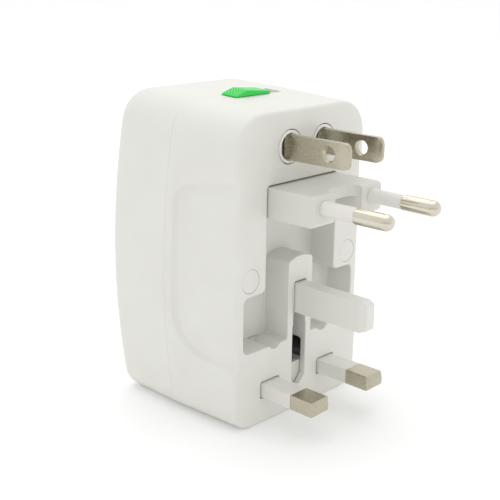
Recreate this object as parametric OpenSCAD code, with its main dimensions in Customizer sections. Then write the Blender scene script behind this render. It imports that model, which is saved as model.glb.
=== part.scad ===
// Universal travel adapter: a hand-sized white block with fold-out round pins,
// slide-out flat blades, slide-out rectangular pins, a fold-out earth pin and
// a shuttered socket in the back. Millimetres, +Z up, the pins point to -Y.

/* [Body] */
// Greatest width of the body, at the seam
body_width = 55.2; // [55:0.1:56]
// Width of the body at its back edge
back_width = 54.8; // [54.4:0.1:54.9]
// Width of the pin face
face_width = 48.8; // [48.4:0.1:50]
// Depth from the pin face to the back
body_depth = 43.5; // [43.5:0.1:45]
// Height of the body at the back
body_height = 82.5; // [82.5:0.1:84]
// Height of the body at the seam
seam_height = 81.7; // [81.5:0.1:82]
// Height of the pin face
face_height = 80.5; // [80.2:0.1:81]
// Depth of the seam between the two shells
seam_depth = 22; // [21.8:0.1:22.2]
// Wall thickness of the shells
wall = 2.2; // [2.1:0.05:2.3]
// Depth of the shallow grip panels on the two sides
grip_depth = 0.8; // [0.5:0.1:0.9]

/* [Round pins] */
// Width of the folding carrier
carrier_width = 25.9; // [25.5:0.1:26]
// Thickness of the folding carrier
carrier_thick = 7.6; // [7.4:0.1:7.6]
// Reach of the carrier's arms in front of the pin face
carrier_reach = 14.5; // [14.3:0.1:14.6]
// Reach of the round pins in front of the pin face
round_reach = 34.4; // [34:0.1:34.6]
// Diameter of the round pins
round_dia = 4; // [3.9:0.05:4]
// Distance between the round pins
round_spacing = 18.6; // [18.4:0.1:19]

/* [Flat blades] */
// Width of each blade
blade_width = 6.35; // [6.1:0.05:6.35]
// Thickness of each blade
blade_thick = 1.5; // [1.4:0.05:1.6]
// Distance between the blades
blade_spacing = 12.7; // [12.6:0.1:12.8]
// Sideways offset of the blades from the middle
blade_offset = 1.2; // [1:0.1:1.3]
// Reach of the blades in front of the pin face
blade_reach = 18.6; // [18.2:0.1:18.8]
// Height of the blades above the base
blade_height = 71.3; // [71.2:0.1:71.4]

/* [Rectangular pins] */
// Distance between the rectangular pins
rect_spacing = 22.2; // [22.1:0.1:22.3]
// Height of the rectangular pins above the base
rect_height = 9.2; // [9.1:0.1:9.3]
// Reach of the rectangular pins in front of the pin face
rect_reach = 17.7; // [17.5:0.1:17.8]
// Reach of the folding earth pin
earth_reach = 22.7; // [22.4:0.1:22.8]

/* [Hidden] */
$fn = 48;

// Colours
white = [0.93, 0.93, 0.91];
grey_white = [0.85, 0.85, 0.83];
nickel = [0.75, 0.73, 0.68];
brass = [0.8, 0.66, 0.32];
green = [0.18, 0.8, 0.32];

// The bounding box runs from the tips of the round pins to the back
face_y = (round_reach - body_depth) / 2;
// Overcut that clears a face
over = 1;
// Thickness of a slice used to stretch a shell between outlines
sliver = 0.02;
// Half of the gap between the two shells at the seam
seam_gap = 0.04;

// Shell outline: how far the sides pull in at the top and bottom
face_crown = 0.4;
seam_crown = 4.2;
back_crown = 4.7;
// Height of the widest place on the sides, and the reach of the crown
crown_mid = 38;
crown_span = 42;
top_radius = 9;
bottom_radius = 6.5;
side_steps = 10;
corner_steps = 8;
face_fillet = 1;
back_fillet = 3;
// The back edge rounding starts here
fillet_steps = 3;
// Tongue of the rear shell inside the front shell
tongue_inset = 1.55;
tongue_play = 0.1;
tongue_length = 1.7;

// Grip panel outline on the side of the front shell
grip_back = 19.4;
grip_low = 16.8;
grip_high = 65.2;
grip_slope = 2.8;
grip_round_high = 5;
grip_round_low = 10.8;
grip_start = 15;

// Recess that takes the folded round pins
recess_depth = 8.3;
recess_wall = 1.6;
recess_width = 26.6;
recess_top = 62.65;
recess_round = 1.2;
pocket_width = 42.2;
pocket_low = 20.6;
pocket_high = 35.6;
pocket_round = 1.8;
ridge_width = 9.2;
ridge_top = 42.6;
ridge_arch = 9.4;
// Grooves in the foot of the recess, under the ends of the folded pins
scoop_radius = 2.3;
scoop_z = 21.7;
scoop_wall = 1.2;

// Slot that takes the folded earth pin
earth_width = 4;
earth_height = 8;
earth_pivot_y = 2.2;
earth_pivot_z = 33.2;
earth_axle_radius = 0.8;
earth_top = earth_pivot_z + earth_pivot_y;
earth_bottom = earth_top - earth_height;
slot_width = 5.2;
slot_low = 6.4;
slot_step = 23.6;
slot_wall = 1.4;
// The slot opens into the body between these heights
window_low = 12.4;
window_high = 18.6;
pivot_play = 0.05;
// Interlock plate behind the foot of the slot
latch_front = 1.95;
latch_back = 3.5;
latch_half = 3.2;
latch_low = 6;
latch_high = 12.3;
latch_play = 0.1;
guide_wall = 1.2;
guide_back = 9.9;

// Hinge of the carrier
eu_pivot_y = 3.8;
eu_pivot_z = 58.5;
eu_axle_radius = 1;
eu_axle_half = 14.8;
hinge_lug = 3.2;
arm_inside = 5.2;
web_reach = 11.4;
web_thick = 2.9;
round_height = 59.2;
sleeve_radius = 1.84;
sleeve_start = 24.3;
core_radius = 1.4;
pin_play = 0.02;

// Blades and their rotors
blade_hole = 1.75;
blade_hole_reach = 12.4;
rotor_radius = 4.15;
rotor_play = 0.05;
rotor_flange = 4.7;
cup_radius = 3.3;
cup_depth = 1.8;
blade_seat = 5.5;
blade_gap = 0.45;
rotor_bore = 4.35;
us_width = 25.2;
us_high = 11.2;
us_front = 2.6;
us_seat = 9;
us_back = 10.6;
retainer_back = 12;

// Rectangular pins
rect_width = 6.35;
rect_thick = 4;
rect_sleeve = 9.75;
rect_core = 0.6;
uk_high = 7.2;
uk_front = 2.6;
uk_bar_front = 10.3;
uk_bar_back = 14;

// Screws and their covers
screw_x = 18.8;
screw_z = 39.7;
cover_radius = 3.05;
cover_thick = 1.4;
cover_play = 0.06;
boss_front = 4.5;
boss_rear = 3.5;
boss_end = 39.6;
rib_half = 1.2;
head_radius = 2.7;
head_depth = 7.5;
shank_radius = 1.3;
shank_end = 36;

// Lock slider and its slot in the top
lock_front = 17.3;
lock_back = 22.6;
lock_left = -6.8;
lock_right = 6.1;
lock_peak = -2.8;
lock_play = 0.1;
lock_rise = 1.6;
lock_foot = 0.45;
lock_tail = 0.75;
groove_pitch = 1.1;
groove_angle = 40;
// Shallow slot under the pad, and the track for the stem in its floor
slot_front = 18;
slot_back = 23.4;
slot_left = -5.8;
slot_right = 11.2;
slot_floor = 80.75;
track_front = 18.5;
track_back = 20.1;
track_left = -5.2;
track_right = 10.6;
stem_left = -4.9;
stem_right = 4.8;
stem_play = 0.3;
flange_low = 77.9;
flange_high = 79;
flange_wide = 1.5;

// Socket in the back
plate_half = 19.3;
plate_low = 18.7;
plate_high = 65.3;
plate_front = 41.2;
plate_back = 43.1;
flange_front = 40;
plate_round = 3;
plate_play = 0.15;
socket_low = 31;
socket_high = 53.2;

// Contacts behind the socket
block_front = 20;
block_back = 37.4;
contact_front = 23;
contact_back = 37;
leaf = 0.6;

// Shutter and spring
shutter_half = 16.2;
shutter_low = 26.4;
shutter_high = 35.6;
shutter_front = 38;
shutter_back = 39.4;
notch_half = 1.7;
notch_top = 31;
ledge_top = 14;
spring_radius = 0.85;
wire_radius = 0.22;
spring_turns = 9;
spring_steps = 12;
spring_sides = 6;

// ---------- helpers ----------

// Places a shape that is drawn with the pin face at y = 0
module placed() {
  translate([0, face_y, 0]) children();
}

// Extrudes a front-view shape from depth y0 to y1
module along_y(y0, y1) {
  translate([0, y1, 0]) rotate([90, 0, 0]) linear_extrude(y1 - y0) children();
}

// Extrudes a side-view shape from x0 to x1
module along_x(x0, x1) {
  translate([x0, 0, 0]) rotate([90, 0, 90]) linear_extrude(x1 - x0) children();
}

// Square corners at two opposite points
module rect(a, b) {
  translate(a) square([b[0] - a[0], b[1] - a[1]]);
}

// Rectangle with round corners between two opposite points
module round_rect(a, b, r) {
  rect([a[0] + r, a[1]], [b[0] - r, b[1]]);
  rect([a[0], a[1] + r], [b[0], b[1] - r]);
  for (x = [a[0] + r, b[0] - r], z = [a[1] + r, b[1] - r])
    translate([x, z]) circle(r);
}

// Block between two opposite corners
module block(a, b) {
  translate(a) cube([b[0] - a[0], b[1] - a[1], b[2] - a[2]]);
}

// Points along an arc
function arc(cx, cz, r, a0, a1, n) =
  [for (i = [0:n]) [cx + r * cos(a0 + (a1 - a0) * i / n),
                    cz + r * sin(a0 + (a1 - a0) * i / n)]];

// Half-width of a crowned side at height z
function side_x(z, w, crown) = w - crown * pow((z - crown_mid) / crown_span, 2);

// Lean of a crowned side at height z, in degrees
function lean(z, crown) = atan(2 * crown * (z - crown_mid) / pow(crown_span, 2));

// Height where a corner arc meets the side
function meet(z, r, crown) = z + r * sin(lean(z + r * sin(lean(z, crown)), crown));

// Right half of an outline, from the bottom to the top
function half_outline(w, crown, low, high, rb, rt) =
  let (zb = meet(low + rb, rb, crown), zt = meet(high - rt, rt, crown),
       ab = lean(zb, crown), at = lean(zt, crown))
  concat(
    arc(side_x(zb, w, crown) - rb * cos(ab), low + rb, rb, -90, ab, corner_steps),
    [for (i = [1:side_steps - 1]) let (z = zb + (zt - zb) * i / side_steps)
      [side_x(z, w, crown), z]],
    arc(side_x(zt, w, crown) - rt * cos(at), high - rt, rt, at, 90, corner_steps));

// One thin slice of the body at depth y
module slice(y, w, crown, high, inset) {
  half = half_outline(w - inset, crown, inset, high - inset,
    bottom_radius - inset, top_radius - inset);
  count = len(half);
  mirrored = [for (i = [count - 1:-1:0]) [-half[i][0], half[i][1]]];
  along_y(y, y + sliver) polygon(concat(half, mirrored));
}

// Body between the pin face and the seam, shrunk by inset
module front_body(inset, y0, y1) {
  rise = (body_width - face_width) / 2 / seam_depth;
  climb = (seam_height - face_height) / seam_depth;
  swell = (seam_crown - face_crown) / seam_depth;
  hull() {
    for (i = [0:fillet_steps]) {
      a = 90 * i / fillet_steps;
      y = y0 + face_fillet * (1 - cos(a));
      slice(y, face_width / 2 + rise * y, face_crown + swell * y,
        face_height + climb * y, inset + face_fillet * (1 - sin(a)));
    }
    slice(y1 - sliver, face_width / 2 + rise * y1, face_crown + swell * y1,
      face_height + climb * y1, inset);
  }
}

// Plain stretch of the front body, without the rounded front edge
module front_band(inset, y0, y1) {
  rise = (body_width - face_width) / 2 / seam_depth;
  climb = (seam_height - face_height) / seam_depth;
  swell = (seam_crown - face_crown) / seam_depth;
  hull() {
    for (y = [y0, y1 - sliver])
      slice(y, face_width / 2 + rise * y, face_crown + swell * y,
        face_height + climb * y, inset);
  }
}

// Body between the seam and the back, shrunk by inset
module rear_body(inset, y0, y1, fillet) {
  hull() {
    slice(y0, body_width / 2, seam_crown, seam_height, inset);
    for (i = [0:fillet_steps]) {
      a = 90 * i / fillet_steps;
      slice(y1 - fillet * (1 - sin(a)) - sliver, back_width / 2, back_crown,
        body_height, inset + fillet * (1 - cos(a)));
    }
  }
}

// Outline of a grip panel in side view
module grip_outline() {
  bottom = grip_low + grip_slope / 2;
  top = grip_high - grip_slope;
  polygon(concat(
    [[-over, grip_low]],
    arc(grip_back - grip_round_low, bottom + grip_round_low, grip_round_low,
      -85, 0, corner_steps),
    arc(grip_back - grip_round_high, top - grip_round_high, grip_round_high,
      0, 80, corner_steps),
    [[-over, grip_high]]));
}

// Front-view outline of the folding recess, grown by an amount
module recess_outline(grow) {
  half = recess_width / 2 + grow;
  wide = pocket_width / 2 + grow;
  round_rect([-half, pocket_low + 3], [half, recess_top + grow], recess_round);
  round_rect([-wide, pocket_low - grow], [wide, pocket_high + grow], pocket_round);
}

// Front-view outline of the ridge between the folded pins
module ridge_outline() {
  half = ridge_width / 2;
  intersection() {
    rect([-half, 0], [half, ridge_top]);
    union() {
      translate([0, ridge_top - ridge_arch]) circle(ridge_arch);
      rect([-half, 0], [half, ridge_top - ridge_arch]);
    }
  }
}

// Front-view outline of the earth pin slot, wider below a step and with a cut foot
module slot_outline() {
  wide = slot_width / 2;
  narrow = earth_width / 2 + 0.3;
  polygon([[-wide, slot_low + 2], [-wide + 1, slot_low + 0.9], [0.5, slot_low],
    [wide, slot_low + 2.5], [wide, slot_step], [narrow, slot_step],
    [narrow, earth_top + 0.35], [-narrow, earth_top + 0.35],
    [-narrow, slot_step], [-wide, slot_step]]);
}

// Shallow slot of the slider in both shells, and the track through the front one
module lock_slot() {
  block([slot_left, slot_front, slot_floor], [slot_right, slot_back, body_height + over]);
  block([track_left, track_front, flange_low], [track_right, track_back, body_height]);
}

// Cylinder along Y
module rod_y(x, z, r, y0, y1) {
  translate([x, y1, z]) rotate([90, 0, 0]) cylinder(h = y1 - y0, r = r);
}

// Cylinder along X
module rod_x(y, z, r, x0, x1) {
  translate([x0, y, z]) rotate([0, 90, 0]) cylinder(h = x1 - x0, r = r);
}

// ---------- housing ----------

module front_shell() {
  lug_out = recess_width / 2 + hinge_lug;
  slot_out = slot_width / 2 + slot_wall;
  bay = latch_half + latch_play;
  cup = head_depth + 2;
  color(white) placed() difference() {
    union() {
      difference() {
        front_body(0, 0, seam_depth - seam_gap);
        difference() {
          for (s = [0, 1]) mirror([s, 0, 0])
            along_x(grip_start, body_width) grip_outline();
          front_band(grip_depth, -over, seam_depth + over);
        }
        front_band(wall, wall, seam_depth + over);
        front_band(tongue_inset - tongue_play,
          seam_depth - tongue_length - tongue_play, seam_depth + over);
      }
      along_y(over, recess_depth + recess_wall) recess_outline(recess_wall);
      for (x = [-round_spacing / 2, round_spacing / 2])
        rod_y(x, scoop_z, scoop_radius + scoop_wall, over, recess_depth + recess_wall);
      along_y(over, recess_depth + recess_wall)
        rect([-slot_out, window_high], [slot_out, pocket_low]);
      // Guide of the interlock plate
      along_y(over, guide_back)
        rect([-bay - guide_wall, latch_low - latch_play - guide_wall],
          [bay + guide_wall, window_low]);
      for (s = [0, 1]) mirror([s, 0, 0])
        block([recess_width / 2, over, eu_pivot_z - hinge_lug],
          [lug_out, recess_depth, eu_pivot_z + hinge_lug]);
      for (x = [-screw_x, screw_x])
        rod_y(x, screw_z, boss_front, over, seam_depth - seam_gap);
    }
    // Folding recess, with the ridge left standing
    difference() {
      along_y(-over, recess_depth) recess_outline(0);
      along_y(-2 * over, recess_depth + over) ridge_outline();
    }
    for (x = [-round_spacing / 2, round_spacing / 2])
      rod_y(x, scoop_z, scoop_radius, -over, recess_depth);
    // Earth pin slot, with the bay of the interlock plate behind its foot
    along_y(-over, recess_depth) slot_outline();
    along_y(latch_front - latch_play, guide_back + over)
      rect([-bay, latch_low - latch_play], [bay, window_high - latch_play]);
    // Pin and blade openings
    for (x = [-rect_spacing / 2, rect_spacing / 2])
      along_y(-over, wall + over)
        round_rect([x - rect_width / 2 - 0.3, rect_height - rect_thick / 2 - 0.3],
          [x + rect_width / 2 + 0.3, rect_height + rect_thick / 2 + 0.3], 0.5);
    for (x = [blade_offset - blade_spacing / 2, blade_offset + blade_spacing / 2])
      rod_y(x, blade_height, rotor_bore, -over, wall + over);
    // Hinge pin holes
    rod_x(eu_pivot_y, eu_pivot_z, eu_axle_radius + pivot_play,
      -eu_axle_half - 0.1, eu_axle_half + 0.1);
    rod_x(earth_pivot_y, earth_pivot_z, earth_axle_radius + pivot_play, -3.9, 3.9);
    // Screw holes
    for (x = [-screw_x, screw_x]) {
      rod_y(x, screw_z, cover_radius + cover_play, -over, cup - 2);
      rod_y(x, screw_z, shank_radius + 0.2, 0, seam_depth + over);
    }
    lock_slot();
  }
}

module rear_shell() {
  color(white) placed() difference() {
    union() {
      difference() {
        rear_body(0, seam_depth + seam_gap, body_depth, back_fillet);
        rear_body(wall, seam_depth - over, body_depth - wall, 1);
      }
      difference() {
        front_band(tongue_inset, seam_depth - tongue_length, seam_depth + over);
        front_band(wall, seam_depth - 2 * tongue_length, seam_depth + 2 * over);
      }
      for (x = [-screw_x, screw_x])
        rod_y(x, screw_z, boss_rear, seam_depth + seam_gap, boss_end);
      // Ribs that tie the screw bosses to the side walls
      for (s = [0, 1]) mirror([s, 0, 0])
        block([screw_x, seam_depth + seam_gap, screw_z - rib_half],
          [back_width / 2 - 1.4, boss_end, screw_z + rib_half]);
      // Ledge under the shutter spring
      block([-2.5, 37.6, ledge_top - 1.2], [2.5, body_depth - over, ledge_top]);
    }
    along_y(body_depth - 2 * wall, body_depth + over)
      round_rect([-plate_half - plate_play, plate_low - plate_play],
        [plate_half + plate_play, plate_high + plate_play], plate_round);
    for (x = [-screw_x, screw_x])
      rod_y(x, screw_z, shank_radius + pin_play, seam_depth, shank_end + 0.5);
    lock_slot();
  }
}

// Front-view outline of one live hole that takes several pin shapes
module live_hole(s) {
  translate([s * 9.5, socket_low]) circle(2.45);
  rect([s * 11.1 - 3.5, socket_low - 2.35], [s * 11.1 + 3.5, socket_low + 2.35]);
  rect([s * 6.35 - 1, socket_low - 3.7], [s * 6.35 + 1, socket_low + 3.7]);
  translate([s * 6.85, socket_low]) rotate(s * 30) rect([-1, -3.7], [1, 3.7]);
}

module socket_plate() {
  color(grey_white) placed() difference() {
    union() {
      along_y(plate_front, plate_back)
        round_rect([-plate_half, plate_low], [plate_half, plate_high], plate_round);
      along_y(flange_front, plate_front)
        round_rect([-plate_half - 1.5, plate_low - 1.5],
          [plate_half + 1.5, plate_high + 1.5], plate_round);
      // Rails that guide the shutter
      for (s = [0, 1]) mirror([s, 0, 0])
        block([shutter_half + 0.35, shutter_front, 17.6],
          [shutter_half + 1.5, flange_front, shutter_high - 0.1]);
    }
    along_y(flange_front - over, body_depth) {
      live_hole(-1);
      live_hole(1);
      round_rect([-2.5, socket_high - 4.4], [2.5, socket_high + 4.4], 0.8);
    }
    // Shallow panel round the holes
    along_y(plate_back - 0.5, body_depth)
      round_rect([-16.6, 24.4], [16.6, 60.4], 4);
  }
}

// Moulding that holds the brass contacts
module contact_block() {
  color(grey_white) placed() difference() {
    along_y(block_front, block_back) {
      rect([-16.9, 25.4], [16.9, 35.1]);
      rect([-5.6, 35.1], [5.6, 60.6]);
    }
    for (s = [-1, 1])
      along_y(contact_front - 0.2, block_back + over)
        rect([s * 9.9 - 5.6, socket_low - 4], [s * 9.9 + 5.6, socket_low + 3]);
    along_y(contact_front - 0.2, block_back + over)
      rect([-4.2, socket_high - 5.6], [4.2, socket_high + 5.6]);
  }
}

// Side-view outline of a spring contact, open towards the back
module leaf_profile(half) {
  for (s = [0, 1]) mirror([0, s]) {
    rect([contact_front, half - leaf], [contact_back - 3, half]);
    polygon([[contact_back - 3, half - leaf], [contact_back - 1.5, half - leaf - 0.35],
      [contact_back, half - leaf + 0.3], [contact_back, half + 0.3],
      [contact_back - 1.5, half - 0.35], [contact_back - 3, half]]);
  }
  rect([contact_front, -half], [contact_front + leaf, half]);
}

module live_contact(s) {
  translate([0, 0, socket_low - 0.5]) along_x(s * 9.9 - 5, s * 9.9 + 5)
    leaf_profile(3.1);
}

module line_contact() {
  color(brass) placed() live_contact(1);
}

module neutral_contact() {
  color(brass) placed() live_contact(-1);
}

module earth_contact() {
  color(brass) placed() translate([0, 0, socket_high]) rotate([0, 90, 0])
    along_x(-4.9, 4.9) leaf_profile(3.2);
}

// Brass strip along the front of the contact block
module busbar(s) {
  block([s * 9.9 - 2.5, 18.8, 15.5], [s * 9.9 + 2.5, 19.6, 64.5]);
  block([s * 9.9 - 2.5, 19.6, 15.5], [s * 9.9 + 2.5, 24, 16.3]);
  block([s * 9.9 - 2.5, 19.6, 63.7], [s * 9.9 + 2.5, 24, 64.5]);
}

module line_busbar() {
  color(brass) placed() busbar(1);
}

module neutral_busbar() {
  color(brass) placed() busbar(-1);
}

module fuse_body() {
  color([0.9, 0.88, 0.8]) placed() translate([11.2, 28, 43.5]) difference() {
    cylinder(h = 18, r = 2.2);
    translate([0, 0, -over]) cylinder(h = 18 + 2 * over, r = 1.5);
  }
}

module fuse_caps() {
  color(nickel) placed() translate([11.2, 28, 0])
    for (z = [42.5, 57.5]) translate([0, 0, z]) difference() {
      cylinder(h = 5, r = 2.5);
      translate([0, 0, z < 50 ? 1 : -1]) cylinder(h = 5, r = 2.22);
    }
}

// ---------- shutter ----------

module shutter() {
  color([0.72, 0.72, 0.7]) placed() difference() {
    along_y(shutter_front, shutter_back) difference() {
      rect([-shutter_half, shutter_low], [shutter_half, shutter_high]);
      rect([-notch_half, shutter_low - over], [notch_half, notch_top]);
    }
    // Sloping faces that the entering pins press down
    for (s = [-1, 1])
      along_x(s * 10.5 - 4.5, s * 10.5 + 4.5)
        polygon([[shutter_back - 0.7, shutter_high], [shutter_back + over, shutter_high],
          [shutter_back + over, shutter_low + 3], [shutter_back, shutter_low + 3]]);
  }
}

// One ring of points of the coil spring
function coil_ring(k) =
  let (turn = 360 * k / spring_steps,
       rise = (notch_top - ledge_top - 2 * wire_radius - 0.1) / (spring_turns * spring_steps))
  [for (j = [0:spring_sides - 1]) let (a = 360 * j / spring_sides)
    [(spring_radius + wire_radius * cos(a)) * cos(turn),
     (spring_radius + wire_radius * cos(a)) * sin(turn),
     rise * k + wire_radius * sin(a)]];

module shutter_spring() {
  rings = spring_turns * spring_steps;
  points = [for (k = [0:rings]) each coil_ring(k)];
  n = spring_sides;
  faces = concat(
    [[for (j = [0:n - 1]) j]],
    [for (k = [0:rings - 1], j = [0:n - 1]) let (m = (j + 1) % n)
      [k * n + j, k * n + n + j, k * n + n + m]],
    [for (k = [0:rings - 1], j = [0:n - 1]) let (m = (j + 1) % n)
      [k * n + j, k * n + n + m, k * n + m]],
    [[for (j = [n - 1:-1:0]) rings * n + j]]);
  color(nickel) placed()
    translate([0, (shutter_front + shutter_back) / 2, ledge_top + wire_radius + 0.05])
      polyhedron(points, faces);
}

// ---------- lock slider ----------

module lock_slider() {
  climb = (seam_height - face_height) / seam_depth;
  base = face_height + climb * lock_front + lock_play;
  ramp = atan((lock_rise - lock_foot) / (lock_peak - lock_left));
  stem_front = track_front + stem_play;
  stem_back = track_back - stem_play;
  color(green) placed() {
    // Thumb pad, lying on the sloping top: a ramp up to a peak, then a gentle fall
    translate([0, lock_front, base]) rotate([atan(climb), 0, 0]) difference() {
      along_y(0, lock_back - lock_front)
        polygon([[lock_left, 0], [lock_right, 0], [lock_right, lock_tail - 0.2],
          [lock_right - 0.3, lock_tail], [lock_peak, lock_rise], [lock_left, lock_foot]]);
      // Grip grooves, slanting across the ramp
      translate([lock_left, 0, lock_foot]) rotate([0, -ramp, 0])
        for (i = [-2:2])
          translate([1.7 + groove_pitch * i, 0, -0.16]) rotate([0, 0, groove_angle])
            translate([0.2, 0, 0]) cube([3.6, 0.4, over]);
    }
    // Stem through the track
    block([stem_left, stem_front, flange_high - 0.4],
      [stem_right, stem_back, base + lock_foot / 2]);
    // Flange inside the shell, with a tongue towards the blades
    block([lock_left, track_front - flange_wide, flange_low],
      [lock_right + 0.6, track_back + flange_wide, flange_high]);
    block([1, 8.5, flange_low - 0.3], [4.5, track_front, flange_low + 0.3]);
  }
}

// ---------- flat blades ----------

module us_carriage() {
  color(grey_white) placed() difference() {
    block([blade_offset - us_width / 2, us_front, blade_height - us_high / 2],
      [blade_offset + us_width / 2, us_back, blade_height + us_high / 2]);
    for (x = [blade_offset - blade_spacing / 2, blade_offset + blade_spacing / 2]) {
      rod_y(x, blade_height, rotor_radius + rotor_play, 0, us_back);
      rod_y(x, blade_height, rotor_flange + 0.25, us_seat, us_back + over);
    }
  }
}

module us_retainer() {
  color(grey_white) placed() difference() {
    block([blade_offset - us_width / 2, us_back, blade_height - us_high / 2],
      [blade_offset + us_width / 2, retainer_back, blade_height + us_high / 2]);
    for (x = [blade_offset - blade_spacing / 2, blade_offset + blade_spacing / 2])
      rod_y(x, blade_height, 3.6, us_back - over, retainer_back + over);
  }
}

module us_rotor(s) {
  x = blade_offset + s * blade_spacing / 2;
  half = blade_width / 2 + pin_play;
  color(white) placed() difference() {
    union() {
      rod_y(x, blade_height, rotor_radius, 0, us_seat + 0.2);
      rod_y(x, blade_height, rotor_flange, us_seat + 0.1, us_back - 0.1);
    }
    rod_y(x, blade_height, cup_radius, -over, cup_depth);
    // Wide slot in front of the blade's tight seat
    block([x - blade_thick / 2 - blade_gap, 0, blade_height - half],
      [x + blade_thick / 2 + blade_gap, blade_seat, blade_height + half]);
    block([x - blade_thick / 2 - pin_play, 0, blade_height - half],
      [x + blade_thick / 2 + pin_play, us_back, blade_height + half]);
  }
}

module us_rotor_left() {
  us_rotor(-1);
}

module us_rotor_right() {
  us_rotor(1);
}

module us_blade(s) {
  x = blade_offset + s * blade_spacing / 2;
  half = blade_width / 2;
  low = blade_height - half;
  high = blade_height + half;
  tail = retainer_back + over;
  color(nickel) placed() difference() {
    intersection() {
      along_x(x - blade_thick / 2, x + blade_thick / 2)
        polygon([[tail, low], [tail, high], [-blade_reach + 1.9, high],
          [-blade_reach + 0.5, high - 0.6], [-blade_reach, high - 1.8],
          [-blade_reach, low + 1.8], [-blade_reach + 0.5, low + 0.6],
          [-blade_reach + 1.9, low]]);
      translate([x, 0, low - over]) linear_extrude(blade_width + 2 * over)
        polygon([[-blade_thick / 2, tail], [-blade_thick / 2, -blade_reach + 1],
          [-blade_thick / 4, -blade_reach], [blade_thick / 4, -blade_reach],
          [blade_thick / 2, -blade_reach + 1], [blade_thick / 2, tail]]);
    }
    rod_x(-blade_hole_reach, blade_height, blade_hole, x - blade_thick, x + blade_thick);
  }
}

module us_blade_left() {
  us_blade(-1);
}

module us_blade_right() {
  us_blade(1);
}

// ---------- round pins ----------

module eu_carrier() {
  half = carrier_width / 2;
  low = eu_pivot_z - carrier_thick / 2;
  high = eu_pivot_z + carrier_thick / 2;
  web_low = high - web_thick;
  color(white) placed() difference() {
    along_x(-half, half) {
      translate([eu_pivot_y, eu_pivot_z]) circle(carrier_thick / 2);
      round_rect([-carrier_reach, low], [eu_pivot_y - 3, high], 0.8);
      rect([-3, low], [eu_pivot_y, high]);
    }
    // Gap between the arms, in front of the web and under it
    block([-arm_inside, -carrier_reach - over, low - over],
      [arm_inside, -web_reach, high + over]);
    block([-arm_inside, -carrier_reach - over, low - over],
      [arm_inside, -1.6, web_low]);
    // Seats of the pins and of the hinge pin
    for (x = [-round_spacing / 2, round_spacing / 2]) {
      rod_y(x, round_height, sleeve_radius + pin_play, -carrier_reach - over, -12.5);
      rod_y(x, round_height, core_radius + pin_play, -13, -5);
    }
    rod_x(eu_pivot_y, eu_pivot_z, eu_axle_radius + pivot_play, -half - over, half + over);
  }
}

module eu_pin(s) {
  r = round_dia / 2;
  color(nickel) placed() translate([s * round_spacing / 2, 0, round_height]) {
    translate([0, -sleeve_start, 0]) rotate([90, 0, 0]) rotate_extrude() {
      rect([0, 0], [r, round_reach - sleeve_start - r]);
      intersection() {
        translate([0, round_reach - sleeve_start - r]) circle(r);
        rect([0, 0], [r, round_reach]);
      }
    }
    rod_y(0, 0, core_radius, -sleeve_start - 0.1, -5.1);
  }
}

module eu_pin_left() {
  eu_pin(-1);
}

module eu_pin_right() {
  eu_pin(1);
}

module eu_sleeve(s) {
  color(white) placed() difference() {
    rod_y(s * round_spacing / 2, round_height, sleeve_radius, -sleeve_start + 0.05, -12.6);
    rod_y(s * round_spacing / 2, round_height, core_radius + pin_play, -sleeve_start - over, 0);
  }
}

module eu_sleeve_left() {
  eu_sleeve(-1);
}

module eu_sleeve_right() {
  eu_sleeve(1);
}

module eu_hinge_pin() {
  color(nickel) placed()
    rod_x(eu_pivot_y, eu_pivot_z, eu_axle_radius, -eu_axle_half, eu_axle_half);
}

// ---------- earth pin ----------

module earth_pin() {
  half = earth_width / 2;
  low = earth_bottom;
  high = earth_top;
  color(white) placed() difference() {
    intersection() {
      along_x(-half, half) {
        translate([earth_pivot_y, earth_pivot_z]) circle(earth_pivot_y);
        polygon([[earth_pivot_y, high], [-earth_reach + 1.8, high],
          [-earth_reach, high - 0.7], [-earth_reach, low + 0.8],
          [-earth_reach + 2, low], [1.2, low],
          [earth_pivot_y + 2, low + 1.6], [earth_pivot_y + 2.2, earth_pivot_z]]);
      }
      translate([0, 0, low - over]) linear_extrude(earth_height + 2 * over)
        polygon([[-half, 2 * earth_pivot_y + over], [-half, -earth_reach + 2],
          [-half + 0.5, -earth_reach], [half - 0.5, -earth_reach],
          [half, -earth_reach + 2], [half, 2 * earth_pivot_y + over]]);
    }
    rod_x(earth_pivot_y, earth_pivot_z, earth_axle_radius + pivot_play, -half - over, half + over);
  }
}

module earth_hinge_pin() {
  color(nickel) placed()
    rod_x(earth_pivot_y, earth_pivot_z, earth_axle_radius, -3.8, 3.8);
}

// Plate behind the foot of the slot, pushed back as the earth pin folds away
module earth_latch() {
  color(grey_white) placed()
    block([-latch_half, latch_front, latch_low], [latch_half, latch_back, latch_high]);
}

// ---------- rectangular pins ----------

module uk_carriage() {
  low = rect_height - uk_high / 2;
  high = rect_height + uk_high / 2;
  color(grey_white) placed() difference() {
    union() {
      for (s = [0, 1]) mirror([s, 0, 0])
        block([7, uk_front, low], [15.4, uk_bar_back, high]);
      block([-15.4, uk_bar_front, low], [15.4, uk_bar_back, high]);
    }
    for (x = [-rect_spacing / 2, rect_spacing / 2]) {
      block([x - rect_width / 2 - pin_play, 0, rect_height - rect_thick / 2 - pin_play],
        [x + rect_width / 2 + pin_play, 5, rect_height + rect_thick / 2 + pin_play]);
      block([x - rect_width / 2 + rect_core - pin_play, 0,
          rect_height - rect_thick / 2 + rect_core - pin_play],
        [x + rect_width / 2 - rect_core + pin_play, 12,
          rect_height + rect_thick / 2 - rect_core + pin_play]);
    }
  }
}

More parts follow.
